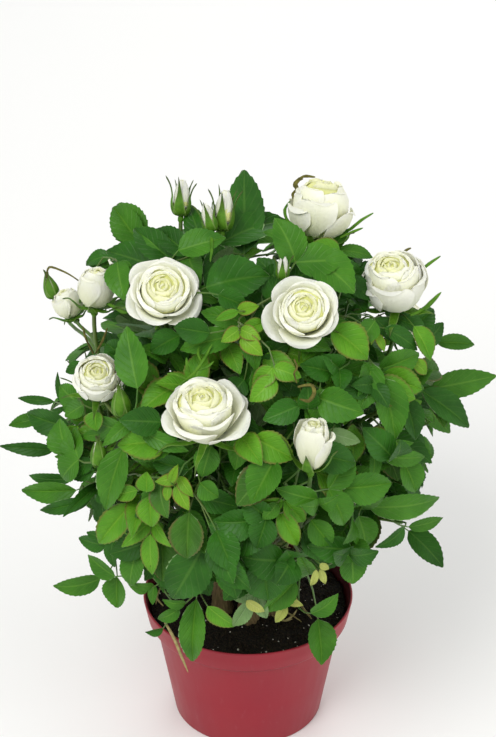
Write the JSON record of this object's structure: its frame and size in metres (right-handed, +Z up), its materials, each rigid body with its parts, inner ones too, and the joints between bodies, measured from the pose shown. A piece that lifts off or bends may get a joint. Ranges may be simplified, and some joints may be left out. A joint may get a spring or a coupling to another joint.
{
  "type": "potted miniature rose bush",
  "caption": "Miniature rose with white blooms and buds over a low leafy dome, growing in a red plastic pot with a rolled lip.",
  "frame": {"origin": "middle of the pot's flat underside", "axes": "+Z up along the pot's axis; the plant's fullest side, with most of its blooms, faces -Y; +X to that side's right"},
  "size_m": [0.2739, 0.2627, 0.3389],
  "materials": {
    "red_plastic": "satin",
    "soil": "matt, crumbly peat",
    "wood": "rough bark",
    "green_bark": "smooth green bark",
    "leaf": "satin leaves and soft petals"
  },
  "bodies": {
    "root": {"pot": "red_plastic", "soil": "soil", "stem_1": "wood", "stem_2": "wood", "stem_3": "wood", "stem_4": "wood", "stem_5": "wood", "stem_6": "wood", "cane_upper_left": "green_bark", "cane_top": "green_bark", "cane_upper_right": "green_bark", "cane_right_bloom": "green_bark", "cane_middle": "green_bark", "cane_front_left": "green_bark", "cane_front_right": "green_bark", "cane_left": "green_bark", "cane_left_bud": "green_bark", "cane_right": "green_bark", "cane_right_face": "green_bark", "cane_lower_right": "green_bark", "cane_low_right": "green_bark", "cane_lower_left": "green_bark", "cane_low_left": "green_bark", "cane_rear_left": "green_bark", "cane_rear": "green_bark", "cane_rear_right": "green_bark", "cane_rear_top": "green_bark", "cane_rear_low_left": "green_bark", "cane_rear_low": "green_bark", "cane_rear_low_right": "green_bark", "foliage_upper_left": "leaf", "foliage_top": "leaf", "foliage_upper_right": "leaf", "foliage_right_bloom": "leaf", "foliage_middle": "leaf", "foliage_front_left": "leaf", "foliage_front_right": "leaf", "foliage_left": "leaf", "foliage_left_bud": "leaf", "foliage_right": "leaf", "foliage_right_face": "leaf", "foliage_lower_right": "leaf", "foliage_low_right": "leaf", "foliage_lower_left": "leaf", "foliage_low_left": "leaf", "foliage_rear_left": "leaf", "foliage_rear": "leaf", "foliage_rear_right": "leaf", "foliage_rear_top": "leaf", "foliage_rear_low_left": "leaf", "foliage_rear_low": "leaf", "foliage_rear_low_right": "leaf"}
  },
  "joints": []
}
